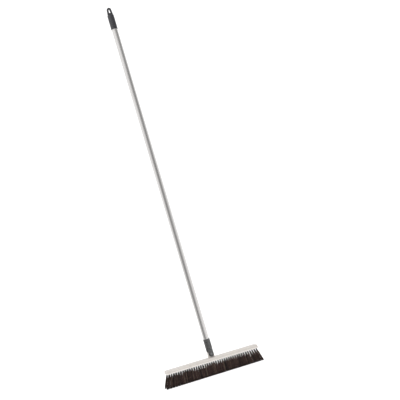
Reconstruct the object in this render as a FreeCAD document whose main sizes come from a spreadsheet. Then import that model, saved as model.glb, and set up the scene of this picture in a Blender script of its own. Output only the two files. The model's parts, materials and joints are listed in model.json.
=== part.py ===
import FreeCAD, Part
import math
import os
import Sketcher

# A push broom with a swivelling head. Its own frame has +Z up, X along the brush and Y from front (-Y) to
# back. The origin lies on the floor under the middle of the brush, where the bristle tips rest.

Vector = FreeCAD.Vector

SIZES_MM = {
    # levels of the brush, from the floor up
    "bristle_height": 52.7,
    "lip_height": 4.4,
    "core_height": 5.5,
    "cover_height": 9.7,
    "cover_roof": 2.5,
    # plan of the block
    "block_length": 391.0,
    "block_depth": 42.0,
    "lip_proud": 1.2,
    "cover_wall": 2.4,
    "cover_taper_deg": 4.0,
    "corner_radius": 7.0,
    "cover_edge_radius": 3.2,
    "lip_edge_radius": 1.2,
    "shell_gap": 0.3,
    # tufts
    "tuft_pitch": 9.2,
    "tufts_per_row": 41.0,
    "row_pitch": 13.2,
    "tuft_hole_radius": 2.6,
    "tuft_hole_depth": 8.0,
    "tuft_root_radius": 2.5,
    "tuft_root_depth": 6.6,
    "tuft_tip_radius": 4.4,
    "end_flare": 18.0,
    "side_flare": 1.5,
    "anchor_width": 4.4,
    "anchor_height": 1.1,
    "anchor_thickness": 0.4,
    "anchor_gap": 0.1,
    # screws that join cover and plate
    "cover_screw_radius": 1.5,
    "cover_screw_length": 8.4,
    "cover_screw_head_radius": 2.9,
    "cover_screw_head_height": 2.1,
    "cover_screw_sink": 3.2,
    "cover_screw_gap": 0.1,
    "screw_point": 1.2,
    "screw_head_gap": 0.3,
    "pilot_depth_in_roof": 0.8,
    "post_radius": 3.8,
    "post_sink": 4.5,
    "post_side_gap": 0.2,
    "post_end_gap": 0.1,
    "post_root": 0.5,
    # swivel joint
    "handle_lean_deg": 3.3,
    "pivot_rise": 14.8,
    "boss_radius": 12.0,
    "boss_flare_radius": 5.2,
    "boss_flare_height": 5.0,
    "boss_thickness": 13.0,
    "boss_edge_radius": 0.9,
    "boss_root": 1.5,
    "bush_radius": 4.0,
    "bush_bore_radius": 2.55,
    "bush_end_gap": 0.1,
    "press_gap": 0.02,
    "bolt_radius": 2.5,
    "bolt_head_radius": 4.75,
    "bolt_head_height": 2.7,
    "bolt_head_rim": 0.3,
    "bolt_end_bevel": 0.6,
    "bolt_seat": 11.8,
    "bolt_tail": 18.2,
    "hex_key": 3.0,
    "hex_key_depth": 1.7,
    "nut_seat": 11.4,
    "nut_across_flats": 8.0,
    "nut_height": 4.0,
    "nut_collar_radius": 3.5,
    "nut_collar_height": 1.1,
    "spring_washer_radius": 4.5,
    "spring_washer_thickness": 1.2,
    "spring_washer_slit": 0.8,
    "thrust_washer_radius": 6.8,
    "thrust_washer_thickness": 0.8,
    "washer_bore_gap": 0.12,
    # socket that carries the tube and forks round the boss
    "socket_radius": 13.3,
    "socket_top": 59.5,
    "socket_floor": 26.0,
    "socket_edge_radius": 1.3,
    "fork_gap": 14.8,
    "fork_roof": 21.5,
    "fork_roof_radius": 2.0,
    "seat_radius": 6.2,
    "panel_half_width": 7.2,
    "panel_groove_width": 1.1,
    "panel_groove_depth": 0.75,
    "panel_groove_point": 0.8,
    "panel_start": 24.0,
    "panel_end": 55.0,
    # handle tube and the bung inside its foot
    "tube_radius": 11.75,
    "tube_wall": 1.0,
    "tube_seen": 1268.7,
    "fit_gap": 0.05,
    "bung_length": 33.0,
    "bung_chamfer": 1.0,
    "tube_screw_height": 43.0,
    "tube_screw_radius": 1.6,
    "tube_screw_length": 11.0,
    "tube_screw_head_radius": 3.1,
    "tube_screw_head_height": 1.9,
    "tube_screw_seat": 12.9,
    # end cap with its hanging loop
    "cap_radius": 13.2,
    "cap_body_height": 59.2,
    "cap_bore_depth": 49.0,
    "cap_top": 89.2,
    "cap_edge_radius": 3.0,
    "cap_mouth_bevel": 0.4,
    "cap_groove_count": 14.0,
    "cap_groove_depth": 0.4,
    "cap_groove_radius": 1.0,
    "cap_groove_start": 6.0,
    "cap_groove_end": 51.0,
    "loop_thickness": 9.0,
    "loop_base_half_width": 11.4,
    "loop_tip_radius": 8.8,
    "loop_edge_radius": 1.5,
    "loop_root": 2.0,
    "hang_hole_low": 67.2,
    "hang_hole_high": 80.2,
    "hang_hole_low_radius": 3.4,
    "hang_hole_high_radius": 2.3,
    # how far a cut starts or ends outside the material
    "cut_margin": 1.0,
}

# The middle row is staggered by half a pitch. A screw takes the place of one tuft between these runs, each
# (first tuft, number of tufts), with tuft 0 just right of the middle.
MIDDLE_RUNS = [(-20, 4), (-15, 9), (-5, 10), (6, 9), (16, 4)]
SCREW_PLACES = [-16, -6, 5, 15]
FLARE_POWER = 4

# A pan head is flat over this share of its radius, and its side is upright over this share of its height.
PAN_FLAT_SHARE = 0.55
PAN_SIDE_SHARE = 0.45

# A profile's axis of revolution is drawn between these levels, below the profile.
AXIS_LEVELS = (-30, -20)

TOLERANCE = 1e-3

doc = FreeCAD.newDocument("push_broom")
sheet = doc.addObject("Spreadsheet::Sheet", "sizes")


class Size:
    """A number and the sheet expression that gives it, so that geometry starts true and stays bound."""

    def __init__(self, value, words):
        self.value = value
        self.words = words

    def __add__(self, other):
        other = size_of(other)
        return Size(self.value + other.value, f"({self.words} + {other.words})")

    def __sub__(self, other):
        other = size_of(other)
        return Size(self.value - other.value, f"({self.words} - {other.words})")

    def __mul__(self, other):
        other = size_of(other)
        return Size(self.value * other.value, f"({self.words} * {other.words})")

    def __truediv__(self, other):
        other = size_of(other)
        return Size(self.value / other.value, f"({self.words} / {other.words})")

    def __neg__(self):
        return Size(-self.value, f"(0 - {self.words})")


def size_of(thing):
    return thing if isinstance(thing, Size) else Size(float(thing), repr(float(thing)))


def root_of(size):
    return Size(math.sqrt(size.value), f"sqrt({size.words})")


def fill_sheet():
    """Writes each driving size into the sheet and returns them by name."""
    for row, (name, value) in enumerate(SIZES_MM.items(), start=1):
        sheet.set(f"A{row}", name)
        sheet.set(f"B{row}", str(value))
        sheet.setAlias(f"B{row}", name)
    doc.recompute()
    return {name: Size(float(sheet.get(name)), f"sizes.{name}") for name in SIZES_MM}


S = fill_sheet()
PLATE_BASE = S["bristle_height"]
COVER_BASE = PLATE_BASE + S["lip_height"]
BLOCK_TOP = COVER_BASE + S["cover_height"]
PIVOT_LEVEL = BLOCK_TOP + S["pivot_rise"]
CAP_RISE = S["socket_top"] + S["tube_seen"]
LEAN = math.radians(S["handle_lean_deg"].value)
LEAN_SINE = Size(math.sin(LEAN), "sin(sizes.handle_lean_deg * 1 deg)")
LEAN_COSINE = Size(math.cos(LEAN), "cos(sizes.handle_lean_deg * 1 deg)")


def bind(thing, path, size):
    thing.setExpression(path, size_of(size).words)


def new_body(name, base_level, base_y=0, turn=0):
    """A piece of the brush: a body lifted to base_level, and turned about X where it lies along Y."""
    body = doc.addObject("PartDesign::Body", name)
    body.Label = name
    body.Placement = FreeCAD.Placement(Vector(), FreeCAD.Rotation(Vector(1, 0, 0), turn))
    bind(body, "Placement.Base.y", base_y)
    bind(body, "Placement.Base.z", base_level)
    return body


def new_handle_body(name, rise, base_y=0, turn=0):
    """A piece of the handle, rise above the pivot along the handle, which leans towards -X at rest."""
    body = new_body(name, PIVOT_LEVEL + LEAN_COSINE * rise, base_y)
    lean = FreeCAD.Rotation(Vector(0, 1, 0), -math.degrees(LEAN))
    body.Placement = FreeCAD.Placement(body.Placement.Base, lean * FreeCAD.Rotation(Vector(1, 0, 0), turn))
    bind(body, "Placement.Base.x", -LEAN_SINE * rise)
    return body


def new_sketch(body, name, role, offset=None):
    """A sketch on one of the body's own origin planes, moved along the plane's normal by offset."""
    sketch = body.newObject("Sketcher::SketchObject", name)
    plane = [feature for feature in body.Origin.OriginFeatures if feature.Role == role][0]
    sketch.AttachmentSupport = [(plane, "")]
    sketch.MapMode = "FlatFace"
    if offset is not None:
        bind(sketch, "AttachmentOffset.Base.z", offset)
    return sketch


def hold(sketch, geometry, point, horizontal, vertical):
    """Pins one point of the geometry at bound distances from the sketch's origin."""
    for kind, axis, size in (("DistanceX", -2, horizontal), ("DistanceY", -1, vertical)):
        size = size_of(size)
        if abs(size.value) < TOLERANCE:
            sketch.addConstraint(Sketcher.Constraint("PointOnObject", geometry, point, axis))
            continue
        index = sketch.addConstraint(Sketcher.Constraint(kind, -1, 1, geometry, point, size.value))
        sketch.setExpression(f"Constraints[{index}]", size.words)


def add_circle(sketch, horizontal, vertical, radius):
    centre = Vector(size_of(horizontal).value, size_of(vertical).value, 0)
    geometry = sketch.addGeometry(Part.Circle(centre, Vector(0, 0, 1), size_of(radius).value), False)
    index = sketch.addConstraint(Sketcher.Constraint("Radius", geometry, size_of(radius).value))
    bind(sketch, f"Constraints[{index}]", radius)
    hold(sketch, geometry, 3, horizontal, vertical)


def add_outline(sketch, corners):
    """A closed outline. Each corner is (x, y) or (x, y, radius, side), whose arc runs to the next corner.

    side is 1 where the arc's centre lies left of the straight way to the next corner, and -1 on its right.
    """
    points = [(size_of(corner[0]), size_of(corner[1])) for corner in corners]
    places = [Vector(x.value, y.value, 0) for x, y in points]
    pieces = []
    for number, corner in enumerate(corners):
        start, end = places[number], places[(number + 1) % len(corners)]
        if len(corner) == 2:
            geometry = sketch.addGeometry(Part.LineSegment(start, end), False)
        else:
            radius, side = size_of(corner[2]), corner[3]
            geometry = sketch.addGeometry(arc_between(start, end, radius.value, side), False)
            index = sketch.addConstraint(Sketcher.Constraint("Radius", geometry, radius.value))
            bind(sketch, f"Constraints[{index}]", radius)
        runs_forward = (sketch.getPoint(geometry, 1) - start).Length < TOLERANCE
        pieces.append((geometry, 1, 2) if runs_forward else (geometry, 2, 1))
    for number, (geometry, start_point, _) in enumerate(pieces):
        before, _, end_point = pieces[number - 1]
        sketch.addConstraint(Sketcher.Constraint("Coincident", before, end_point, geometry, start_point))
        hold(sketch, geometry, start_point, *points[number])


def arc_between(start, end, radius, side):
    chord = end - start
    across = Vector(-chord.y, chord.x, 0).normalize()
    reach = math.sqrt(max(radius**2 - (chord.Length / 2) ** 2, 0))
    centre = (start + end) / 2 + across * (reach * side)
    return Part.Arc(start, centre - across * (radius * side), end)


def add_rectangle(sketch, left, right, low, high):
    add_outline(sketch, [(left, low), (right, low), (right, high), (left, high)])


def add_rounded_rectangle(sketch, length, depth, radius):
    """A rounded rectangle about the origin."""
    x, y, r = size_of(length) / 2, size_of(depth) / 2, size_of(radius)
    add_outline(sketch, [
        (x - r, -y, r, 1),
        (x, r - y),
        (x, y - r, r, 1),
        (x - r, y),
        (r - x, y, r, 1),
        (-x, y - r),
        (-x, r - y, r, 1),
        (r - x, -y),
    ])


def feature(body, kind, name, sketch, **settings):
    """Adds a sketch-based feature and gives it bound lengths or plain settings."""
    made = body.newObject(f"PartDesign::{kind}", name)
    made.Profile = sketch
    for key, value in settings.items():
        if isinstance(value, Size):
            bind(made, key, value)
        else:
            setattr(made, key, value)
    return made


def pattern_along_x(body, name, original, sketch, length, count):
    """Repeats a feature along the sketch's horizontal axis over a bound length."""
    pattern = body.newObject("PartDesign::LinearPattern", name)
    pattern.Originals = [original]
    pattern.Direction = (sketch, ["H_Axis"])
    bind(pattern, "Length", length)
    bind(pattern, "Occurrences", count)
    body.Tip = pattern
    return pattern


def edges_where(shape, test):
    return [f"Edge{number}" for number, edge in enumerate(shape.Edges, start=1) if test(edge)]


def round_edges(body, name, base, test, radius):
    """Fillets the edges of base that pass the test."""
    doc.recompute()
    made = body.newObject("PartDesign::Fillet", name)
    made.Base = (base, edges_where(base.Shape, test))
    bind(made, "Radius", radius)
    return made


def lies_at(edge, level):
    box = edge.BoundBox
    return abs(box.ZMin - level) < TOLERANCE and abs(box.ZMax - level) < TOLERANCE


def on_side_faces(half, above):
    """A test for edges that lie in the faces at Y = -half and Y = half, and reach above a level."""
    def test(edge):
        box = edge.BoundBox
        in_face = box.YMax - box.YMin < TOLERANCE and abs(abs(box.YMin) - half.value) < TOLERANCE
        return in_face and box.ZMax > above.value + TOLERANCE
    return test


def make_ring(body, outer, inner, thickness):
    """A washer or bush in the body's own XY plane."""
    sketch = new_sketch(body, "ring_section", "XY_Plane")
    add_circle(sketch, 0, 0, outer)
    add_circle(sketch, 0, 0, inner)
    feature(body, "Pad", "ring", sketch, Length=thickness)
    return body


# ---------------------------------------------------------------- brush block


def make_tuft_plate():
    """Lower plate: a lip that shows round the block, a core inside the cover, and blind tuft holes."""
    body = new_body("tuft_plate", PLATE_BASE)
    outline = new_sketch(body, "lip_outline", "XY_Plane")
    add_rounded_rectangle(outline, S["block_length"], S["block_depth"], S["corner_radius"])
    lip = feature(body, "Pad", "lip", outline, Length=S["lip_height"])
    top = S["lip_height"].value
    round_edges(body, "lip_rounding", lip, lambda e: lies_at(e, 0) or lies_at(e, top), S["lip_edge_radius"])

    inset = (S["lip_proud"] + S["cover_wall"] + S["shell_gap"]) * 2
    core_outline = new_sketch(body, "core_outline", "XY_Plane")
    add_rounded_rectangle(core_outline, S["block_length"] - inset, S["block_depth"] - inset,
                          S["corner_radius"] - S["cover_wall"] - S["shell_gap"])
    feature(body, "Pad", "core", core_outline, Length=S["lip_height"] + S["core_height"])

    depth = S["tuft_hole_depth"]
    for row, side in (("front", -1), ("back", 1)):
        holes = new_sketch(body, f"{row}_hole", "XY_Plane")
        add_circle(holes, -row_half_length(), S["row_pitch"] * side, S["tuft_hole_radius"])
        hole = feature(body, "Pocket", f"{row}_first_hole", holes, Length=depth, Reversed=True)
        pattern_along_x(body, f"{row}_holes", hole, holes, row_half_length() * 2, S["tufts_per_row"])
    for number, (first, count) in enumerate(MIDDLE_RUNS, start=1):
        holes = new_sketch(body, f"middle_hole_{number}", "XY_Plane")
        add_circle(holes, middle_place(first), 0, S["tuft_hole_radius"])
        hole = feature(body, "Pocket", f"middle_first_hole_{number}", holes, Length=depth, Reversed=True)
        pattern_along_x(body, f"middle_holes_{number}", hole, holes, S["tuft_pitch"] * (count - 1),
                        size_of(count))

    plate_top = S["lip_height"] + S["core_height"]
    sink_radius = S["cover_screw_head_radius"] + S["screw_head_gap"]
    cuts = (
        ("screw_sinks", None, sink_radius, S["cover_screw_sink"], True),
        ("screw_holes", None, S["cover_screw_radius"] + S["cover_screw_gap"], plate_top, True),
        ("post_sinks", plate_top, S["post_radius"] + S["post_side_gap"], S["post_sink"], False),
    )
    for name, offset, radius, depth, upwards in cuts:
        places = new_sketch(body, f"{name}_places", "XY_Plane", offset)
        for place in SCREW_PLACES:
            add_circle(places, middle_place(place), 0, radius)
        feature(body, "Pocket", name, places, Length=depth, Reversed=upwards)
    return body


def row_half_length():
    return S["tuft_pitch"] * (S["tufts_per_row"] - 1) / 2


def middle_place(number):
    return S["tuft_pitch"] * (number + 0.5)


def make_block_cover():
    """Upper shell with screw posts inside and the pivot boss on top, moulded in one."""
    body = new_body("block_cover", COVER_BASE)
    outline = new_sketch(body, "cover_outline", "XY_Plane")
    step = S["lip_proud"] * 2
    add_rounded_rectangle(outline, S["block_length"] - step, S["block_depth"] - step, S["corner_radius"])
    top = S["cover_height"]
    block = feature(body, "Pad", "block", outline, Length=top, TaperAngle=-S["cover_taper_deg"])
    round_edges(body, "top_rounding", block, lambda e: lies_at(e, top.value), S["cover_edge_radius"])

    inset = (S["lip_proud"] + S["cover_wall"]) * 2
    cavity = new_sketch(body, "cavity_outline", "XY_Plane")
    add_rounded_rectangle(cavity, S["block_length"] - inset, S["block_depth"] - inset,
                          S["corner_radius"] - S["cover_wall"])
    ceiling = top - S["cover_roof"]
    feature(body, "Pocket", "cavity", cavity, Length=ceiling, Reversed=True)

    post_start = S["core_height"] - S["post_sink"] + S["post_end_gap"]
    posts = new_sketch(body, "post_places", "XY_Plane", post_start)
    for place in SCREW_PLACES:
        add_circle(posts, middle_place(place), 0, S["post_radius"])
    feature(body, "Pad", "posts", posts, Length=ceiling - post_start + S["post_root"])

    pivot = top + S["pivot_rise"]
    flare, flare_height = S["boss_flare_radius"], S["boss_flare_height"]
    foot = S["boss_radius"] + flare - root_of(flare * flare - flare_height * flare_height)
    side = new_sketch(body, "boss_outline", "XZ_Plane")
    add_outline(side, [
        (-foot, top - S["boss_root"]),
        (foot, top - S["boss_root"]),
        (foot, top, flare, -1),
        (S["boss_radius"], top + flare_height),
        (S["boss_radius"], pivot, S["boss_radius"], 1),
        (0, pivot + S["boss_radius"], S["boss_radius"], 1),
        (-S["boss_radius"], pivot),
        (-S["boss_radius"], top + flare_height, flare, -1),
        (-foot, top),
    ])
    boss = feature(body, "Pad", "boss", side, Length=S["boss_thickness"], SideType="Symmetric")
    round_edges(body, "boss_rounding", boss, on_side_faces(S["boss_thickness"] / 2, top),
                S["boss_edge_radius"])
    bore = new_sketch(body, "bore_circle", "XZ_Plane")
    add_circle(bore, 0, pivot, S["bush_radius"] + S["press_gap"])
    feature(body, "Pocket", "bore", bore, Length=S["boss_thickness"] * 2, SideType="Symmetric")

    pilots = new_sketch(body, "pilot_places", "XY_Plane")
    for place in SCREW_PLACES:
        add_circle(pilots, middle_place(place), 0, S["cover_screw_radius"] + S["press_gap"])
    feature(body, "Pocket", "pilots", pilots, Length=ceiling + S["pilot_depth_in_roof"], Reversed=True)
    return body


def make_cover_screws():
    """Four pan-head screws driven from below, as separate solids of one body."""
    body = new_body("cover_screws", PLATE_BASE + S["cover_screw_sink"])
    head, shank = S["cover_screw_head_radius"], S["cover_screw_radius"]
    head_height, length = S["cover_screw_head_height"], S["cover_screw_length"]
    for number, screw_place in enumerate(SCREW_PLACES, start=1):
        middle = middle_place(screw_place)
        profile = new_sketch(body, f"screw_profile_{number}", "XZ_Plane")
        add_outline(profile, [
            (middle, -head_height),
            (middle + head * PAN_FLAT_SHARE, -head_height),
            (middle + head, -head_height * PAN_SIDE_SHARE),
            (middle + head, 0),
            (middle + shank, 0),
            (middle + shank, length - S["screw_point"]),
            (middle, length),
        ])
        turned(body, f"screw_{number}", profile, middle)
    return body


def turned(body, name, profile, axis_x):
    """Revolves a profile about the vertical line at axis_x, drawn in the same sketch."""
    low, high = AXIS_LEVELS
    segment = Part.LineSegment(Vector(axis_x.value, low, 0), Vector(axis_x.value, high, 0))
    line = profile.addGeometry(segment, True)
    hold(profile, line, 1, axis_x, low)
    hold(profile, line, 2, axis_x, high)
    made = body.newObject("PartDesign::Revolution", name)
    made.Profile = profile
    made.ReferenceAxis = (profile, ["Axis0"])
    made.Angle = 360
    return made


def tuft_solid(x, y, lean_x, lean_y):
    """One bundle: a round root in its hole, which opens and leans to a round tip on the floor."""
    levels = (
        (x, y, S["bristle_height"] + S["tuft_root_depth"], S["tuft_root_radius"]),
        (x, y, S["bristle_height"], S["tuft_root_radius"]),
        (x + lean_x, y + lean_y, size_of(0), S["tuft_tip_radius"]),
    )
    wires = []
    for centre_x, centre_y, level, radius in levels:
        circle = Part.makeCircle(radius.value, Vector(centre_x, centre_y, level.value))
        wires.append(Part.Wire([circle]))
    return Part.makeLoft(wires, True, True)


def row_places(row):
    """Where the tufts of a row leave the plate, along X."""
    if row == "middle":
        numbers = [first + step for first, count in MIDDLE_RUNS for step in range(count)]
        return [middle_place(number).value for number in numbers]
    half = row_half_length().value
    count = int(S["tufts_per_row"].value)
    return [S["tuft_pitch"].value * number - half for number in range(count)]


ROWS = {"front": -1, "middle": 0, "back": 1}


def make_bristle_row(row):
    """One row of tufts, which fan out more and more towards the ends, and to the row's own side."""
    half = row_half_length().value
    side = ROWS[row]
    tufts = []
    for x in row_places(row):
        share = abs(x) / half
        lean_x = math.copysign(S["end_flare"].value * share**FLARE_POWER, x)
        tufts.append(tuft_solid(x, S["row_pitch"].value * side, lean_x, S["side_flare"].value * side))
    made = doc.addObject("Part::Feature", f"bristles_{row}")
    made.Label = f"bristles_{row}"
    made.Shape = Part.makeCompound(tufts)
    return made


def make_anchor_row(row):
    """The flat wire anchors that hold a row's folded tufts at the bottom of their holes."""
    width, height, thickness = S["anchor_width"].value, S["anchor_height"].value, S["anchor_thickness"].value
    level = (PLATE_BASE + S["tuft_hole_depth"] - S["anchor_gap"]).value - height
    y = S["row_pitch"].value * ROWS[row]
    anchors = []
    for x in row_places(row):
        corner = Vector(x - width / 2, y - thickness / 2, level)
        anchors.append(Part.makeBox(width, thickness, height, corner))
    made = doc.addObject("Part::Feature", f"tuft_anchors_{row}")
    made.Label = f"tuft_anchors_{row}"
    made.Shape = Part.makeCompound(anchors)
    return made


# ---------------------------------------------------------------- swivel joint


def make_pivot_bolt():
    """Button-head bolt through both ears, its head at the front."""
    body = new_handle_body("pivot_bolt", 0, turn=-90)
    profile = new_sketch(body, "bolt_profile", "XZ_Plane")
    head, seat = S["bolt_head_radius"], S["bolt_seat"]
    crown, rim = S["bolt_head_height"], S["bolt_head_rim"]
    shank, end, bevel = S["bolt_radius"], S["bolt_tail"], S["bolt_end_bevel"]
    rise = crown - rim
    crown_radius = (head * head + rise * rise) / (rise * 2)
    add_outline(profile, [
        (0, -seat - crown, crown_radius, 1),
        (head, -seat - rim),
        (head, -seat),
        (shank, -seat),
        (shank, end - bevel),
        (shank - bevel, end),
        (0, end),
    ])
    turned(body, "bolt", profile, size_of(0))
    key = new_sketch(body, "key_outline", "XY_Plane", -seat - crown - S["cut_margin"])
    add_hexagon(key, S["hex_key"])
    feature(body, "Pocket", "key_recess", key, Length=S["hex_key_depth"] + S["cut_margin"], Reversed=True)
    return body


def add_hexagon(sketch, across_flats):
    """A regular hexagon about the origin with two flats parallel to the sketch's vertical axis."""
    flat = across_flats / 2
    point = across_flats / math.sqrt(3)
    add_outline(sketch, [
        (0, -point),
        (flat, -point / 2),
        (flat, point / 2),
        (0, point),
        (-flat, point / 2),
        (-flat, -point / 2),
    ])


def make_pivot_nut():
    """Lock nut at the back, with the round collar of its plastic insert."""
    seat = S["nut_seat"] + S["spring_washer_thickness"]
    body = new_handle_body("pivot_nut", 0, base_y=seat, turn=-90)
    outline = new_sketch(body, "nut_outline", "XY_Plane")
    add_hexagon(outline, S["nut_across_flats"])
    feature(body, "Pad", "hexagon", outline, Length=S["nut_height"])
    collar = new_sketch(body, "collar_outline", "XY_Plane")
    add_circle(collar, 0, 0, S["nut_collar_radius"])
    feature(body, "Pad", "collar", collar, Length=S["nut_height"] + S["nut_collar_height"])
    hole = new_sketch(body, "nut_hole", "XY_Plane")
    add_circle(hole, 0, 0, S["bolt_radius"] + S["press_gap"])
    feature(body, "Pocket", "thread", hole, Length=S["nut_height"] * 2, Reversed=True)
    return body


def make_spring_washer():
    body = new_handle_body("spring_washer", 0, base_y=S["nut_seat"], turn=-90)
    outer, thickness = S["spring_washer_radius"], S["spring_washer_thickness"]
    make_ring(body, outer, S["bolt_radius"] + S["washer_bore_gap"], thickness)
    slit = new_sketch(body, "slit_outline", "XY_Plane")
    half = S["spring_washer_slit"] / 2
    add_rectangle(slit, -half, half, size_of(0), outer + S["cut_margin"])
    feature(body, "Pocket", "slit", slit, Length=thickness * 2, Reversed=True)
    return body


def make_thrust_washers():
    """Two plastic washers that lie against the ears' inner faces and rub on the boss."""
    thickness = S["thrust_washer_thickness"]
    inner_face = S["fork_gap"] / 2
    starts = {"front": -inner_face, "back": inner_face - thickness}
    washers = []
    for side, start in starts.items():
        body = new_handle_body(f"thrust_washer_{side}", 0, base_y=start, turn=-90)
        bore = S["bolt_radius"] + S["washer_bore_gap"]
        washers.append(make_ring(body, S["thrust_washer_radius"], bore, thickness))
    return washers


def make_pivot_bush():
    length = S["boss_thickness"] - S["bush_end_gap"] * 2
    body = new_body("pivot_bush", PIVOT_LEVEL, base_y=-length / 2, turn=-90)
    return make_ring(body, S["bush_radius"], S["bush_bore_radius"], length)


def make_pivot_fork():
    """Socket that holds the tube, split at its foot into two rounded ears about the pivot axis."""
    body = new_handle_body("pivot_fork", 0)
    profile = new_sketch(body, "socket_profile", "XZ_Plane")
    outer, top = S["socket_radius"], S["socket_top"]
    bore = S["tube_radius"] + S["fit_gap"]
    edge, margin = S["socket_edge_radius"], S["cut_margin"]
    half_gap = S["fork_gap"] / 2
    ear = root_of(outer * outer - half_gap * half_gap)
    add_outline(profile, [
        (0, -ear - margin),
        (outer, -ear - margin),
        (outer, top - edge, edge, 1),
        (outer - edge, top),
        (bore, top),
        (bore, S["socket_floor"]),
        (0, S["socket_floor"]),
    ])
    turned(body, "socket", profile, size_of(0))

    gap = new_sketch(body, "gap_outline", "YZ_Plane")
    roof, round_corner = S["fork_roof"], S["fork_roof_radius"]
    add_outline(gap, [
        (-half_gap, -ear - margin * 2),
        (half_gap, -ear - margin * 2),
        (half_gap, roof - round_corner, round_corner, 1),
        (half_gap - round_corner, roof),
        (round_corner - half_gap, roof, round_corner, 1),
        (-half_gap, roof - round_corner),
    ])
    feature(body, "Pocket", "gap", gap, Length=outer * 3, SideType="Symmetric")

    below = new_sketch(body, "ear_trim", "XZ_Plane")
    far = outer + margin * 2
    add_outline(below, [
        (-ear, 0, ear, 1),
        (0, -ear, ear, 1),
        (ear, 0),
        (far, 0),
        (far, -far),
        (-far, -far),
        (-far, 0),
    ])
    feature(body, "Pocket", "ear_ends", below, Length=outer * 3, SideType="Symmetric")

    hole = new_sketch(body, "bolt_hole", "XZ_Plane")
    add_circle(hole, 0, 0, S["bolt_radius"] + S["press_gap"])
    feature(body, "Pocket", "bolt_holes", hole, Length=outer * 3, SideType="Symmetric")

    # The seats for bolt head and washer are flat and round. Seen from the front, XZ sketches face forwards.
    for name, seat, forwards in (("front_seat", S["bolt_seat"], True), ("back_seat", S["nut_seat"], False)):
        flat = new_sketch(body, name, "XZ_Plane", seat if forwards else -seat)
        add_circle(flat, 0, 0, S["seat_radius"])
        feature(body, "Pocket", f"{name}_cut", flat, Length=outer, Reversed=forwards)

    # Two fine grooves on each side frame a flat-looking panel, as moulded sockets have.
    groove_floor = root_of(outer * outer - S["panel_half_width"] * S["panel_half_width"])
    groove_floor = groove_floor - S["panel_groove_depth"]
    half_width, point = S["panel_groove_width"] / 2, S["panel_groove_point"]
    for name, forwards in (("front_grooves", True), ("back_grooves", False)):
        lines = new_sketch(body, name, "XZ_Plane", groove_floor if forwards else -groove_floor)
        for side in (-1, 1):
            middle = S["panel_half_width"] * side
            add_outline(lines, [
                (middle - half_width, S["panel_start"]),
                (middle, S["panel_start"] - point),
                (middle + half_width, S["panel_start"]),
                (middle + half_width, S["panel_end"]),
                (middle, S["panel_end"] + point),
                (middle - half_width, S["panel_end"]),
            ])
        feature(body, "Pocket", f"{name}_cut", lines, Length=outer, Reversed=forwards)

    seat = new_sketch(body, "screw_seat", "XZ_Plane", -S["tube_screw_seat"])
    add_circle(seat, 0, S["tube_screw_height"], S["tube_screw_head_radius"] + S["screw_head_gap"])
    feature(body, "Pocket", "screw_seat_cut", seat, Length=outer)
    screw_hole = new_sketch(body, "screw_hole", "XZ_Plane")
    add_circle(screw_hole, 0, S["tube_screw_height"], S["tube_screw_radius"] + S["press_gap"])
    feature(body, "Pocket", "screw_hole_cut", screw_hole, Length=outer * 2)
    return body


# ---------------------------------------------------------------- handle


def make_handle_tube():
    body = new_handle_body("handle_tube", S["socket_floor"])
    section = new_sketch(body, "tube_section", "XY_Plane")
    add_circle(section, 0, 0, S["tube_radius"])
    add_circle(section, 0, 0, S["tube_radius"] - S["tube_wall"])
    in_socket = S["socket_top"] - S["socket_floor"]
    feature(body, "Pad", "tube", section, Length=in_socket + S["tube_seen"] + S["cap_bore_depth"])
    hole = new_sketch(body, "screw_hole", "XZ_Plane")
    add_circle(hole, 0, S["tube_screw_height"] - S["socket_floor"], S["tube_screw_radius"] + S["press_gap"])
    feature(body, "Pocket", "screw_hole_cut", hole, Length=S["tube_radius"] * 2)
    return body


def make_tube_bung():
    """Plug inside the tube's foot, which keeps the thin tube from crushing under the screw."""
    body = new_handle_body("tube_bung", S["socket_floor"])
    section = new_sketch(body, "bung_section", "XY_Plane")
    add_circle(section, 0, 0, S["tube_radius"] - S["tube_wall"] - S["fit_gap"])
    bung = feature(body, "Pad", "bung", section, Length=S["bung_length"])
    bevel_level = S["bung_length"].value
    doc.recompute()
    bevel = body.newObject("PartDesign::Chamfer", "bung_bevel")
    bevel.Base = (bung, edges_where(bung.Shape, lambda e: lies_at(e, bevel_level)))
    bind(bevel, "Size", S["bung_chamfer"])
    hole = new_sketch(body, "screw_hole", "XZ_Plane")
    add_circle(hole, 0, S["tube_screw_height"] - S["socket_floor"], S["tube_screw_radius"] + S["press_gap"])
    feature(body, "Pocket", "screw_hole_cut", hole, Length=S["tube_radius"])
    return body


def make_tube_screw():
    """Pan-head screw at the back, through socket and tube into the bung."""
    body = new_handle_body("tube_screw", S["tube_screw_height"], base_y=S["tube_screw_seat"], turn=90)
    profile = new_sketch(body, "screw_profile", "XZ_Plane")
    head, shank = S["tube_screw_head_radius"], S["tube_screw_radius"]
    add_outline(profile, [
        (0, -S["tube_screw_head_height"]),
        (head * PAN_FLAT_SHARE, -S["tube_screw_head_height"]),
        (head, -S["tube_screw_head_height"] * PAN_SIDE_SHARE),
        (head, 0),
        (shank, 0),
        (shank, S["tube_screw_length"] - S["screw_point"]),
        (0, S["tube_screw_length"]),
    ])
    turned(body, "screw", profile, size_of(0))
    return body


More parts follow.
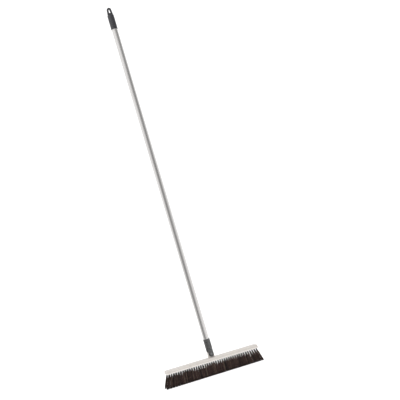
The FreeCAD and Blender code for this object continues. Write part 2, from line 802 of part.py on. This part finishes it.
def make_end_cap():
    """Plastic cap over the tube's head: a fluted sleeve that ends in a flat hanging loop."""
    body = new_handle_body("end_cap", CAP_RISE)
    outer, height, edge = S["cap_radius"], S["cap_body_height"], S["cap_edge_radius"]
    bore, depth, bevel = S["tube_radius"] + S["fit_gap"], S["cap_bore_depth"], S["cap_mouth_bevel"]
    profile = new_sketch(body, "sleeve_profile", "XZ_Plane")
    add_outline(profile, [
        (bore, 0),
        (outer - bevel, 0),
        (outer, bevel),
        (outer, height - edge, edge, 1),
        (outer - edge, height),
        (0, height),
        (0, depth),
        (bore, depth),
    ])
    turned(body, "sleeve", profile, size_of(0))

    flute = new_sketch(body, "flute_circle", "XY_Plane", S["cap_groove_start"])
    add_circle(flute, 0, outer + S["cap_groove_radius"] - S["cap_groove_depth"], S["cap_groove_radius"])
    first = feature(body, "Pocket", "first_flute", flute, Length=S["cap_groove_end"] - S["cap_groove_start"],
                    Reversed=True)
    flutes = body.newObject("PartDesign::PolarPattern", "flutes")
    flutes.Originals = [first]
    flutes.Axis = (flute, ["N_Axis"])
    flutes.Angle = 360
    bind(flutes, "Occurrences", S["cap_groove_count"])
    body.Tip = flutes

    tip, base, thickness = S["loop_tip_radius"], S["loop_base_half_width"], S["loop_thickness"]
    tip_level = S["cap_top"] - tip
    loop = new_sketch(body, "loop_outline", "XZ_Plane")
    add_outline(loop, [
        (-base, height - S["loop_root"]),
        (base, height - S["loop_root"]),
        (tip, tip_level, tip, 1),
        (0, S["cap_top"], tip, 1),
        (-tip, tip_level),
    ])
    feature(body, "Pad", "loop", loop, Length=thickness, SideType="Symmetric")
    low, high = S["hang_hole_low_radius"], S["hang_hole_high_radius"]
    opening = new_sketch(body, "hang_hole_outline", "XZ_Plane")
    low_level = S["hang_hole_low"] + low
    add_outline(opening, [
        (-low, low_level, low, 1),
        (0, S["hang_hole_low"], low, 1),
        (low, low_level),
        (high, S["hang_hole_high"], high, 1),
        (0, S["hang_hole_high"] + high, high, 1),
        (-high, S["hang_hole_high"]),
    ])
    hole = feature(body, "Pocket", "hang_hole", opening, Length=thickness * 2, SideType="Symmetric")
    round_edges(body, "loop_rounding", hole, on_side_faces(thickness / 2, height), S["loop_edge_radius"])
    return body


def build_parts():
    parts = [make_tuft_plate(), make_block_cover(), make_cover_screws()]
    for row in ROWS:
        parts.append(make_bristle_row(row))
        parts.append(make_anchor_row(row))
    parts += [make_pivot_bush(), make_pivot_fork(), make_pivot_bolt(), make_pivot_nut()]
    parts += [make_spring_washer(), *make_thrust_washers()]
    parts += [make_handle_tube(), make_tube_bung(), make_tube_screw(), make_end_cap()]
    return parts


def check_model(parts):
    """Stops if any object failed or any piece is empty or not a valid solid."""
    doc.recompute()
    failed = [made.Name for made in doc.Objects if {"Invalid", "Error"} & set(made.State)]
    if failed:
        raise RuntimeError(f"these objects failed: {failed}")
    for part in parts:
        shape = part.Shape
        if shape.isNull() or not shape.isValid() or not shape.Solids:
            raise RuntimeError(f"{part.Label} has no valid solid")


def write_parts(parts):
    os.makedirs("parts", exist_ok=True)
    for part in parts:
        part.Shape.exportStep(f"parts/{part.Label}.step")
        box = part.Shape.BoundBox
        print(f"{part.Label:20} solids {len(part.Shape.Solids):3}  volume {part.Shape.Volume:9.0f} mm3"
              f"  x {box.XMin:7.2f} {box.XMax:7.2f}  y {box.YMin:6.2f} {box.YMax:6.2f}"
              f"  z {box.ZMin:7.2f} {box.ZMax:7.2f}")


all_parts = build_parts()
check_model(all_parts)
write_parts(all_parts)
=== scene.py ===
import json
import math

import bmesh
import bpy
import numpy as np
from mathutils import Matrix, Vector


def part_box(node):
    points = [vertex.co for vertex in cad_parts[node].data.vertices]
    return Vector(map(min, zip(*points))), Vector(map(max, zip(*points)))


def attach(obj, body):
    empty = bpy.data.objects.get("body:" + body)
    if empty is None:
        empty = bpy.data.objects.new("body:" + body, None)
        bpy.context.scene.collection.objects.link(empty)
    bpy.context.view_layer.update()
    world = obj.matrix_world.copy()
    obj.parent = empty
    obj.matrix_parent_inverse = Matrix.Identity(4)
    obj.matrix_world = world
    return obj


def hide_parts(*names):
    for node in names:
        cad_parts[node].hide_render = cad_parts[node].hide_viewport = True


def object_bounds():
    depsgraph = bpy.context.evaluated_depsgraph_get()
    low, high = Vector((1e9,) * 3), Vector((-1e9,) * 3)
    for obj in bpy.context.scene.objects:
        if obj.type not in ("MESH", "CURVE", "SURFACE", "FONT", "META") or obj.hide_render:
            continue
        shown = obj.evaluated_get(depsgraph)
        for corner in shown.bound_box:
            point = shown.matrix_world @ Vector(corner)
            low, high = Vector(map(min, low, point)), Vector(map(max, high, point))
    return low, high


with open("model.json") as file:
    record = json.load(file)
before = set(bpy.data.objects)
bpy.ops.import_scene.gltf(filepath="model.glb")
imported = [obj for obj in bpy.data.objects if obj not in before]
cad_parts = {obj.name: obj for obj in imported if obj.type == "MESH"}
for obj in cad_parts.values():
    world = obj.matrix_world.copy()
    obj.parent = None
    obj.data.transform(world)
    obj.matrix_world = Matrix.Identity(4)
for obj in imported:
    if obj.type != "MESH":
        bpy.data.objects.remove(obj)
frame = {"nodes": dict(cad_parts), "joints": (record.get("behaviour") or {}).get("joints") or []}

CAD_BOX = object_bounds()
NODES = frame["nodes"]
PIVOT = Vector(frame["joints"][0]["pos_m"])
PLATE_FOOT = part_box("tuft_plate")[0].z

# The handle leans at rest, so grain that runs along it needs the angle of its axis.
CAP_LOW, CAP_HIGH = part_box("end_cap")
CAP_MIDDLE = (CAP_LOW + CAP_HIGH) / 2
HANDLE_LEAN = math.atan2(PIVOT.x - CAP_MIDDLE.x, CAP_MIDDLE.z - PIVOT.z)

MM = 0.001


# ---------------------------------------------------------------- material building blocks


def add_node(tree, kind, inputs=None, **settings):
    """A shader node with its settings; each input is either a value or another node's output."""
    made = tree.nodes.new(kind)
    for key, value in settings.items():
        setattr(made, key, value)
    for socket, value in (inputs or {}).items():
        if isinstance(value, bpy.types.NodeSocket):
            tree.links.new(value, made.inputs[socket])
        else:
            made.inputs[socket].default_value = value
    return made


class Surface:
    """A material with one Principled shader, and short calls for the nodes that drive it."""

    def __init__(self, name, **settings):
        self.material = bpy.data.materials.new(name)
        self.material.use_nodes = True
        self.tree = self.material.node_tree
        self.shader = self.tree.nodes["Principled BSDF"]
        for socket, value in settings.items():
            self.shader.inputs[socket.replace("_", " ")].default_value = value

    def node(self, kind, inputs=None, **settings):
        return add_node(self.tree, kind, inputs, **settings)

    def place(self, scale=(1, 1, 1), lean=0.0):
        """Coordinates in metres, turned by the lean so that the handle stands upright, then scaled."""
        coordinates = self.node("ShaderNodeTexCoord").outputs["Object"]
        turned = self.node("ShaderNodeMapping", {"Vector": coordinates, "Rotation": (0, lean, 0)})
        return self.node("ShaderNodeMapping", {"Vector": turned.outputs[0], "Scale": scale}).outputs[0]

    def noise(self, scale, detail=4.0, roughness=0.55, where=None):
        """Grey noise from 0 to 1. Scale multiplies the coordinates, so it is in features per metre."""
        made = self.node(
            "ShaderNodeTexNoise",
            {"Vector": where or self.place(), "Scale": scale, "Detail": detail, "Roughness": roughness},
        )
        return made.outputs["Fac"]

    def ramp(self, fac, stops):
        """Colours at places along a grey value; stops are (place, (r, g, b))."""
        made = self.node("ShaderNodeValToRGB", {"Fac": fac})
        elements = made.color_ramp.elements
        while len(elements) < len(stops):
            elements.new(0.5)
        for element, (place, colour) in zip(elements, stops):
            element.position = place
            element.color = (*colour, 1.0)
        return made.outputs["Color"]

    def spread(self, fac, low, high, from_low=0.25, from_high=0.75):
        """Maps a grey value's range from_low to from_high onto low to high, and stops at both ends."""
        made = self.node(
            "ShaderNodeMapRange",
            {"Value": fac, "From Min": from_low, "From Max": from_high, "To Min": low, "To Max": high},
        )
        return made.outputs["Result"]

    def multiply(self, one, other):
        """The product of two colour or grey outputs, through the Mix node's colour sockets."""
        made = self.node(
            "ShaderNodeMix", {0: 1.0, 6: one, 7: other}, data_type="RGBA", blend_type="MULTIPLY"
        )
        return made.outputs[2]

    def drive(self, socket, output):
        self.tree.links.new(output, self.shader.inputs[socket])

    def bump(self, *layers):
        """Lays bumps on top of each other; each layer is (grey output, depth in metres)."""
        normal = None
        for height, depth in layers:
            inputs = {"Height": height, "Strength": 1.0, "Distance": depth}
            if normal is not None:
                inputs["Normal"] = normal
            normal = self.node("ShaderNodeBump", inputs).outputs["Normal"]
        self.drive("Normal", normal)


def shade(colour, factor):
    return tuple(channel * factor for channel in colour)


# ---------------------------------------------------------------- materials


def anodised_aluminium():
    """Satin drawn tube: fine lengthwise lines, faint tonal bands, and a few handling marks."""
    made = Surface("anodised_aluminium", Metallic=1.0, Anisotropic=0.35)
    base = (0.74, 0.725, 0.715)
    lines = made.noise(1.0, detail=3.0, roughness=0.6, where=made.place((2600, 2600, 14), HANDLE_LEAN))
    bands = made.noise(1.0, detail=2.0, roughness=0.5, where=made.place((300, 300, 5), HANDLE_LEAN))
    marks = made.noise(1.0, detail=6.0, roughness=0.7, where=made.place((900, 900, 260), HANDLE_LEAN))
    tone = made.ramp(bands, [(0.3, shade(base, 0.93)), (0.7, shade(base, 1.05))])
    wear_and_painted_tip_shade = made.ramp(marks, [(0.62, (1, 1, 1)), (0.72, (0.86, 0.85, 0.84))])
    made.drive("Base Color", made.multiply(tone, wear_and_painted_tip_shade))
    made.drive("Roughness", made.spread(lines, 0.14, 0.25))
    made.bump((lines, 0.012 * MM), (marks, 0.006 * MM))
    return made.material


def moulded_plastic(name, base, roughness, grain_depth, lean=0.0):
    """Moulded plastic: spark-eroded grain, faint flow marks in the colour, and rubbed patches."""
    made = Surface(name, Specular_IOR_Level=1.0)
    where = made.place(lean=lean)
    flow = made.noise(38, detail=5.0, roughness=0.6, where=where)
    grain = made.noise(3800, detail=2.0, roughness=0.5, where=where)
    rubbed = made.noise(160, detail=4.0, roughness=0.65, where=where)
    made.drive("Base Color", made.ramp(flow, [(0.25, shade(base, 0.90)), (0.75, shade(base, 1.10))]))
    made.drive("Roughness", made.spread(rubbed, roughness - 0.09, roughness + 0.07))
    made.bump((grain, grain_depth), (flow, 0.05 * MM))
    return made.material


def block_plastic(name, base, shadow, roughness):
    """Pale satin plastic, softly mottled, with specks of dust and shallow sink marks."""
    made = Surface(name, Specular_IOR_Level=0.5, Coat_Weight=0.18, Coat_Roughness=0.3)
    where = made.place()
    mottle = made.noise(55, detail=6.0, roughness=0.62, where=where)
    specks = made.noise(1500, detail=2.0, roughness=0.5, where=where)
    sink = made.noise(1.0, detail=1.5, roughness=0.4, where=made.place((14, 60, 60)))
    grain = made.noise(3000, detail=2.0, roughness=0.5, where=where)
    tone = made.ramp(mottle, [(0.28, shadow), (0.62, base)])
    dust = made.ramp(specks, [(0.66, (1, 1, 1)), (0.80, (0.88, 0.86, 0.83))])
    made.drive("Base Color", made.multiply(tone, dust))
    made.drive("Roughness", made.spread(mottle, roughness - 0.06, roughness + 0.08))
    made.bump((grain, 0.012 * MM), (sink, 0.14 * MM))
    return made.material


def turned_steel(name, base, roughness):
    """Plated or blackened steel with fine turning marks and dull patches."""
    made = Surface(name, Metallic=1.0)
    where = made.place()
    turning = made.noise(1.0, detail=3.0, roughness=0.6, where=made.place((4200, 900, 4200)))
    patches = made.noise(420, detail=5.0, roughness=0.6, where=where)
    made.drive("Base Color", made.ramp(patches, [(0.3, shade(base, 0.82)), (0.7, shade(base, 1.08))]))
    made.drive("Roughness", made.spread(patches, roughness - 0.08, roughness + 0.12))
    made.bump((turning, 0.01 * MM))
    return made.material


def bristle_fibre():
    """Dark fibre: each strand has its own brown or black, with painted shade that darkens its tip near
    the floor and its root under the plate.
    """
    made = Surface("bristle_fibre", Specular_IOR_Level=0.16, Sheen_Weight=0.02)
    tone = made.node("ShaderNodeAttribute", attribute_name="strand_tone").outputs["Fac"]
    along = made.noise(1.0, detail=3.0, roughness=0.6, where=made.place((900, 900, 90)))
    colours = made.ramp(tone, [
        (0.00, (0.014, 0.010, 0.009)),
        (0.30, (0.046, 0.031, 0.028)),
        (0.55, (0.110, 0.056, 0.052)),
        (0.75, (0.088, 0.066, 0.044)),
        (0.93, (0.150, 0.100, 0.080)),
        (1.00, (0.230, 0.180, 0.145)),
    ])
    uneven = made.ramp(along, [(0.3, (0.75, 0.75, 0.75)), (0.7, (1.2, 1.2, 1.2))])
    height = made.node("ShaderNodeSeparateXYZ", {0: made.place()}).outputs["Z"]
    # Painted shade: the colour darkens towards the tips, where the strands meet the floor, and towards
    # the roots, in the shadow under the plate.
    wear_and_painted_tip_shade = made.spread(height, low=0.4, high=1.0, from_low=2 * MM, from_high=9 * MM)
    painted_root_shade = made.spread(
        height, low=1.0, high=0.3, from_low=PLATE_FOOT - 11 * MM, from_high=PLATE_FOOT - 3 * MM
    )
    ends = made.node("ShaderNodeMath", {0: wear_and_painted_tip_shade, 1: painted_root_shade}, operation="MULTIPLY").outputs[0]
    made.drive("Base Color", made.multiply(made.multiply(colours, uneven), ends))
    made.drive("Roughness", made.spread(along, 0.42, 0.6))
    made.bump((along, 0.02 * MM))
    return made.material


def dress_frame():
    """Gives every CAD node that stays in view its finished material."""
    steel = turned_steel("zinc_plated_steel", base=(0.60, 0.60, 0.61), roughness=0.34)
    dark_steel = turned_steel("blackened_steel", base=(0.26, 0.26, 0.265), roughness=0.45)
    nylon = moulded_plastic(
        "natural_nylon", base=(0.72, 0.70, 0.65), roughness=0.45, grain_depth=0.01 * MM
    )
    handle_grain = {"grain_depth": 0.022 * MM, "lean": HANDLE_LEAN}
    charcoal = moulded_plastic(
        "charcoal_cap", base=(0.009, 0.009, 0.014), roughness=0.27, **handle_grain
    )
    grey = moulded_plastic(
        "grey_socket", base=(0.040, 0.040, 0.040), roughness=0.30, **handle_grain
    )
    # The block is one pale plastic in two copies: the cover's copy is darker as painted shade on its
    # front face, and the lip's copy is lighter as a painted highlight on its upward-facing ledge.
    cover = block_plastic(
        "block_plastic_painted_shade", base=(0.625, 0.582, 0.547), shadow=(0.555, 0.517, 0.483), roughness=0.40
    )
    lip = block_plastic(
        "lip_plastic", base=(0.735, 0.693, 0.655), shadow=(0.67, 0.632, 0.595), roughness=0.36
    )
    finishes = {
        "handle_tube": anodised_aluminium(),
        "end_cap": charcoal,
        "pivot_fork": grey,
        "block_cover": cover,
        "tuft_plate": lip,
        "pivot_bolt": dark_steel,
        "pivot_nut": steel,
        "spring_washer": steel,
        "tube_screw": steel,
        "pivot_bush": steel,
        "cover_screws": steel,
        "tuft_anchors_front": steel,
        "tuft_anchors_middle": steel,
        "tuft_anchors_back": steel,
        "thrust_washer_front": nylon,
        "thrust_washer_back": nylon,
        "tube_bung": nylon,
    }
    for name, material in finishes.items():
        for slot in NODES[name].material_slots:
            slot.material = material


# ---------------------------------------------------------------- bristles


ROW_SEEDS = {"front": 11, "middle": 23, "back": 37}

STRANDS_PER_TUFT = 150
STRAND_RADIUS = 0.2 * MM
RADIUS_RANGE = (0.82, 1.15)
STRAND_SIDES = 3
STRAND_STEPS = (0.0, 0.14, 0.36, 0.66, 1.0)
STRAND_END_TAPER = 0.7
ROOT_IN_PLATE = 2.0 * MM
ROOT_MARGIN = STRAND_RADIUS * 1.2
GOLDEN_ANGLE = math.pi * (3 - math.sqrt(5))
DISC_UNEVENNESS = 0.05

# A share of the strands strays from its tuft. The others end in the tuft's tip circle, stretched along
# the row, give or take TIP_SPREAD. ROOM_AT_ENDS and ROOM_AT_SIDES are how far past the CAD box a strand's
# centre line may end.
STRAY_SHARE = 0.02
STRAY_SPREAD = 1.2 * MM
STRAY_RISE = 2.0 * MM
TIP_SPREAD = 0.4 * MM
TIP_STRETCH = 1.2
ROOM_AT_ENDS = 1.2 * MM
ROOM_AT_SIDES = 0.8 * MM

# Strands end at slightly different heights above the floor, and higher in the row's worn corners.
FOOT_RISE = 0.5 * MM
CORNER_RISE = 0.4 * MM
CORNER_LENGTH = 9 * MM

# Each strand sways by its own count of half waves; the sway is nothing at the root and from
# 1 / SWAY_FADE of the way down. A high quickness makes a tuft fan out close below the plate, and each
# LEAN_PER_QUICKNESS of a tuft's lean adds one to it.
SWAY = 0.28 * MM
SWAY_FADE = 1.1
HALF_WAVES = (1.0, 2.2)
QUICKNESS = (1.4, 2.3)
LEAN_PER_QUICKNESS = 45 * MM

# A strand's own tone comes from a beta curve; its clump and its tuft each shift it.
CLUMPS_PER_TUFT = 7
CLUMP_TONE_SPREAD = 0.22
TUFT_TONE_SPREAD = 0.05
STRAND_TONE_SHAPE = (2.0, 2.6)

# A CAD bundle's corners within WELD_DISTANCE are one corner, and those within RING_HEIGHT of its top or
# foot form its end ring.
WELD_DISTANCE = 0.001 * MM
RING_HEIGHT = 0.1 * MM


def tufts_of(node):
    """The bundles of a CAD bristle row, each as (root centre, root radius, tip centre, tip radius)."""
    mesh = bmesh.new()
    mesh.from_mesh(NODES[node].data)
    bmesh.ops.remove_doubles(mesh, verts=mesh.verts, dist=WELD_DISTANCE)
    waiting = set(mesh.verts)
    tufts = []
    while waiting:
        island = []
        reached = [waiting.pop()]
        while reached:
            vertex = reached.pop()
            island.append(vertex.co.copy())
            for link in vertex.link_edges:
                other = link.other_vert(vertex)
                if other in waiting:
                    waiting.remove(other)
                    reached.append(other)
        points = np.array(island)
        top = points[points[:, 2] > points[:, 2].max() - RING_HEIGHT]
        foot = points[points[:, 2] < points[:, 2].min() + RING_HEIGHT]
        ends = []
        for ring in (top, foot):
            centre = (ring.min(0) + ring.max(0)) / 2
            ends += [centre, (ring[:, 0].max() - ring[:, 0].min()) / 2]
        tufts.append(tuple(ends))
    mesh.free()
    return sorted(tufts, key=lambda tuft: tuft[0][0])


def disc_points(count, rng):
    """Points spread over a unit disc, a little uneven as real fibres are, and none outside its rim."""
    number = np.arange(count) + 0.5
    radius = np.sqrt(number / count)
    angle = number * GOLDEN_ANGLE + rng.uniform(0, math.tau)
    points = np.stack([radius * np.cos(angle), radius * np.sin(angle)], axis=1)
    points += rng.normal(0, DISC_UNEVENNESS, points.shape)
    return points / np.maximum(np.linalg.norm(points, axis=1, keepdims=True), 1.0)


def strand_tones(disc, rng):
    """A tone from 0 to 1 for each strand, shifted with its tuft and with its clump of neighbours."""
    share_of_turn = np.arctan2(disc[:, 1], disc[:, 0]) / math.tau
    clump = (share_of_turn * CLUMPS_PER_TUFT).astype(int) % CLUMPS_PER_TUFT
    clump_tones = rng.normal(0, CLUMP_TONE_SPREAD, CLUMPS_PER_TUFT)
    tuft_tone = rng.normal(0, TUFT_TONE_SPREAD)
    own_tones = rng.beta(*STRAND_TONE_SHAPE, len(disc))
    return np.clip(own_tones + clump_tones[clump] + tuft_tone, 0, 1)


def tuft_strands(tuft, rng):
    """One tuft's strands: their centre lines, as an array of strand, step and xyz, and their tones."""
    root, root_radius, tip, tip_radius = tuft
    disc = disc_points(STRANDS_PER_TUFT, rng)
    starts = disc * (root_radius - ROOT_MARGIN)
    tip_size = np.array([tip_radius * TIP_STRETCH, tip_radius])
    ends = disc * tip_size + rng.normal(0, TIP_SPREAD, disc.shape)
    stray = rng.random(STRANDS_PER_TUFT) < STRAY_SHARE
    ends[stray] += rng.normal(0, STRAY_SPREAD, (int(stray.sum()), 2))
    lean = tip[:2] - root[:2]
    limit = np.array([CAD_BOX[1].x + ROOM_AT_ENDS, CAD_BOX[1].y + ROOM_AT_SIDES])
    ends = np.clip(ends + tip[:2], -limit, limit) - tip[:2]
    feet = rng.uniform(0.0, FOOT_RISE, STRANDS_PER_TUFT)
    feet += stray * rng.uniform(0, STRAY_RISE, STRANDS_PER_TUFT)
    corner_start = CAD_BOX[1].x - CORNER_LENGTH
    past_corner = (np.abs(ends[:, 0] + tip[0]) - corner_start) / (limit[0] - corner_start)
    feet += CORNER_RISE * np.clip(past_corner, 0, 1) ** 2
    sway = rng.normal(0, SWAY, (STRANDS_PER_TUFT, 2))
    half_waves = rng.uniform(*HALF_WAVES, (STRANDS_PER_TUFT, 1))
    phase = rng.uniform(0, math.tau, (STRANDS_PER_TUFT, 1))
    top = PLATE_FOOT + ROOT_IN_PLATE
    quickness = rng.uniform(*QUICKNESS) + abs(lean[0]) / LEAN_PER_QUICKNESS
    lines = np.empty((STRANDS_PER_TUFT, len(STRAND_STEPS), 3))
    for number, step in enumerate(STRAND_STEPS):
        opening = 1 - (1 - step) ** quickness
        fade = math.sin(math.pi * min(step * SWAY_FADE, 1.0))
        wave = np.sin(half_waves * step * math.pi + phase) * fade
        lines[:, number, :2] = root[:2] + lean * step + starts + (ends - starts) * opening + sway * wave
        lines[:, number, 2] = top + (feet - top) * step
    return lines, strand_tones(disc, rng)


def tube_mesh(lines, radii):
    """Thin closed tubes round many upright centre lines at once, as (vertices, faces)."""
    strands, steps, _ = lines.shape
    angles = np.arange(STRAND_SIDES) * math.tau / STRAND_SIDES
    ring = np.stack([np.cos(angles), np.sin(angles), np.zeros(STRAND_SIDES)], axis=1)
    taper = np.ones(steps)
    taper[-1] = STRAND_END_TAPER
    offsets = ring[None, None] * radii[:, None, None, None] * taper[None, :, None, None]
    vertices = (lines[:, :, None] + offsets).reshape(-1, 3)
    base = (np.arange(strands) * steps * STRAND_SIDES)[:, None, None]
    level = (np.arange(steps - 1) * STRAND_SIDES)[None, :, None]
    side = np.arange(STRAND_SIDES)[None, None]
    after = (side + 1) % STRAND_SIDES
    below = STRAND_SIDES
    walls = np.stack([
        base + level + side,
        base + level + below + side,
        base + level + below + after,
        base + level + after,
    ], axis=-1).reshape(-1, 4)
    foot = base[:, 0] + (steps - 1) * STRAND_SIDES + np.arange(STRAND_SIDES)[None, ::-1]
    head = base[:, 0] + np.arange(STRAND_SIDES)[None]
    return vertices, walls.tolist() + foot.tolist() + head.tolist()


def bristle_row(row, seed, material):
    """One row of the brush as separate strands, in place of its plain CAD bundles."""
    rng = np.random.default_rng(seed)
    node = f"bristles_{row}"
    lines = []
    tones = []
    for tuft in tufts_of(node):
        tuft_lines, tuft_tones = tuft_strands(tuft, rng)
        lines.append(tuft_lines)
        tones.append(tuft_tones)
    lines = np.concatenate(lines)
    tones = np.concatenate(tones)
    radii = STRAND_RADIUS * rng.uniform(*RADIUS_RANGE, len(lines))
    vertices, faces = tube_mesh(lines, radii)
    mesh = bpy.data.meshes.new(f"bristle_strands_{row}")
    mesh.from_pydata(vertices.tolist(), [], faces)
    mesh.polygons.foreach_set("use_smooth", [True] * len(mesh.polygons))
    tone = mesh.attributes.new("strand_tone", "FLOAT", "POINT")
    per_strand = len(STRAND_STEPS) * STRAND_SIDES
    tone.data.foreach_set("value", np.repeat(tones, per_strand).astype(np.float32))
    mesh.materials.append(material)
    piece = bpy.data.objects.new(f"bristle_strands_{row}", mesh)
    bpy.context.scene.collection.objects.link(piece)
    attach(piece, "head")
    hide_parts(node)


# ---------------------------------------------------------------- stage, light and camera


VIEW_AZIMUTH = -20.3
VIEW_ELEVATION = -2.85
VIEW_ROLL = -13.47
VIEW_DISTANCE = 2.991
VIEW_TARGET = Vector((0.1062, 0.0, 0.6758))
LENS_MM = 67.5
SENSOR_MM = 36.0
CLIP_START = 0.05

LAMP_TARGET = Vector((0.0, 0.0, 0.7))
WHITE = (1.0, 1.0, 1.0, 1.0)
FLOOR_HALF = 60.0
FLOOR_DROP = 0.02 * MM

# Strengths of the world's light. Heights are those of a ray's unit direction, so 1.0 is straight up.
BACKDROP_LIGHT = 1.25
CEILING_LIGHT = 1.2
SIDE_LIGHT = 0.6
CEILING_START = 0.35
CEILING_FULL = 0.80

# The ring of panels has a gap that is darkest at its middle and reaches GAP_HALF_WIDTH radians to each
# side. The middle stands straight in front at the height GAP_LEVEL, and GAP_SLOPE radians further right
# for each unit of height above it.
PANEL_LIGHT = 1.05
GAP_LIGHT = 0.28
GAP_LEVEL = -0.015
GAP_SLOPE = 3.2
GAP_HALF_WIDTH = 1.4


def view_direction(azimuth, elevation):
    """Unit vector from the object towards a viewer; azimuth 0 stands in front, at -Y."""
    around = math.radians(azimuth)
    up = math.radians(elevation)
    return Vector((math.sin(around) * math.cos(up), -math.cos(around) * math.cos(up), math.sin(up)))


def softbox(name, azimuth, elevation, distance, size, power):
    """A rectangular area lamp that faces the middle of the object, and that no reflection shows."""
    lamp = bpy.data.lights.new(name, "AREA")
    lamp.shape = "RECTANGLE"
    lamp.size, lamp.size_y = size
    lamp.energy = power
    holder = bpy.data.objects.new(name, lamp)
    back = view_direction(azimuth, elevation)
    holder.location = LAMP_TARGET + back * distance
    holder.rotation_euler = back.to_track_quat("Z", "Y").to_euler()
    holder.visible_glossy = False
    bpy.context.scene.collection.objects.link(holder)


def studio_floor():
    """A wide pale floor. Glossy rays pass it and meet the studio's reflection panels instead."""
    mesh = bpy.data.meshes.new("floor")
    corners = [(x * FLOOR_HALF, y * FLOOR_HALF, 0) for x, y in ((-1, -1), (1, -1), (1, 1), (-1, 1))]
    mesh.from_pydata(corners, [], [(0, 1, 2, 3)])
    floor = bpy.data.objects.new("floor", mesh)
    floor.location.z = -FLOOR_DROP
    floor.visible_glossy = False
    bpy.context.scene.collection.objects.link(floor)
    made = Surface("pale_floor", Roughness=0.85, Specular_IOR_Level=0.15)
    made.shader.inputs["Emission Color"].default_value = WHITE
    made.shader.inputs["Emission Strength"].default_value = 0.4
    paper = made.noise(30, detail=3.0)
    made.drive("Base Color", made.ramp(paper, [(0.3, (0.90, 0.90, 0.90)), (0.7, (0.93, 0.93, 0.93))]))
    mesh.materials.append(made.material)


def studio_world():
    """White behind the object, a bright ceiling, and a bright ring of panels that only the gloss sees.

    The ring has one dark gap, in front of the object. The gap slopes, so its reflection drifts across
    the tube, from right at its top to left at its foot.
    """
    world = bpy.data.worlds.new("studio")
    bpy.context.scene.world = world
    world.use_nodes = True
    tree = world.node_tree

    def node(kind, inputs=None, **settings):
        return add_node(tree, kind, inputs, **settings)

    def step(value, start, end, low, high):
        """Eases from low to high while value goes from start to end."""
        ranges = {"Value": value, "From Min": start, "From Max": end, "To Min": low, "To Max": high}
        return node("ShaderNodeMapRange", ranges, interpolation_type="SMOOTHSTEP").outputs["Result"]

    def math_of(kind, *values):
        return node("ShaderNodeMath", dict(enumerate(values)), operation=kind).outputs[0]

    def along(vector, axis):
        product = node("ShaderNodeVectorMath", {0: vector, 1: axis}, operation="DOT_PRODUCT")
        return product.outputs["Value"]

    def either(switch, when_off, when_on):
        return node("ShaderNodeMix", {0: switch, 2: when_off, 3: when_on}).outputs[0]

    direction = node("ShaderNodeTexCoord").outputs["Generated"]
    height = node("ShaderNodeSeparateXYZ", {0: direction}).outputs["Z"]
    front = along(direction, view_direction(VIEW_AZIMUTH, 0))
    right = along(direction, view_direction(VIEW_AZIMUTH + 90, 0))
    round_angle = math_of("ARCTAN2", right, front)
    gap_middle = math_of("MULTIPLY", math_of("SUBTRACT", height, GAP_LEVEL), GAP_SLOPE)
    from_gap = math_of("ABSOLUTE", math_of("SUBTRACT", round_angle, gap_middle))
    gloss = step(from_gap, 0.0, GAP_HALF_WIDTH, GAP_LIGHT, PANEL_LIGHT)
    ceiling = step(height, CEILING_START, CEILING_FULL, SIDE_LIGHT, CEILING_LIGHT)
    path = node("ShaderNodeLightPath")
    lit = either(path.outputs["Is Glossy Ray"], ceiling, gloss)
    seen = either(path.outputs["Is Camera Ray"], lit, BACKDROP_LIGHT)
    background = tree.nodes["Background"]
    background.inputs["Color"].default_value = WHITE
    tree.links.new(seen, background.inputs["Strength"])


def add_camera():
    """Stands left of the front and below the handle's middle, and rolled to the right."""
    data = bpy.data.cameras.new("photo_view")
    data.sensor_width = SENSOR_MM
    data.lens = LENS_MM
    data.clip_start = CLIP_START
    camera = bpy.data.objects.new("photo_view", data)
    back = view_direction(VIEW_AZIMUTH, VIEW_ELEVATION)
    roll = Matrix.Rotation(math.radians(VIEW_ROLL), 3, "Z")
    turn = back.to_track_quat("Z", "Y").to_matrix() @ roll
    place = VIEW_TARGET + back * VIEW_DISTANCE
    camera.matrix_world = Matrix.Translation(place) @ turn.to_4x4()
    bpy.context.scene.collection.objects.link(camera)
    bpy.context.scene.camera = camera


def light_stage():
    studio_floor()
    studio_world()
    softbox("key_left", azimuth=-62, elevation=30, distance=3.2, size=(1.6, 2.6), power=22)
    softbox("fill_right", azimuth=48, elevation=12, distance=3.4, size=(1.2, 2.8), power=10)
    bpy.context.scene.view_settings.view_transform = "Standard"


# ---------------------------------------------------------------- assembly


add_camera()
dress_frame()
fibre = bristle_fibre()
for row_name, row_seed in ROW_SEEDS.items():
    bristle_row(row_name, row_seed, fibre)
light_stage()
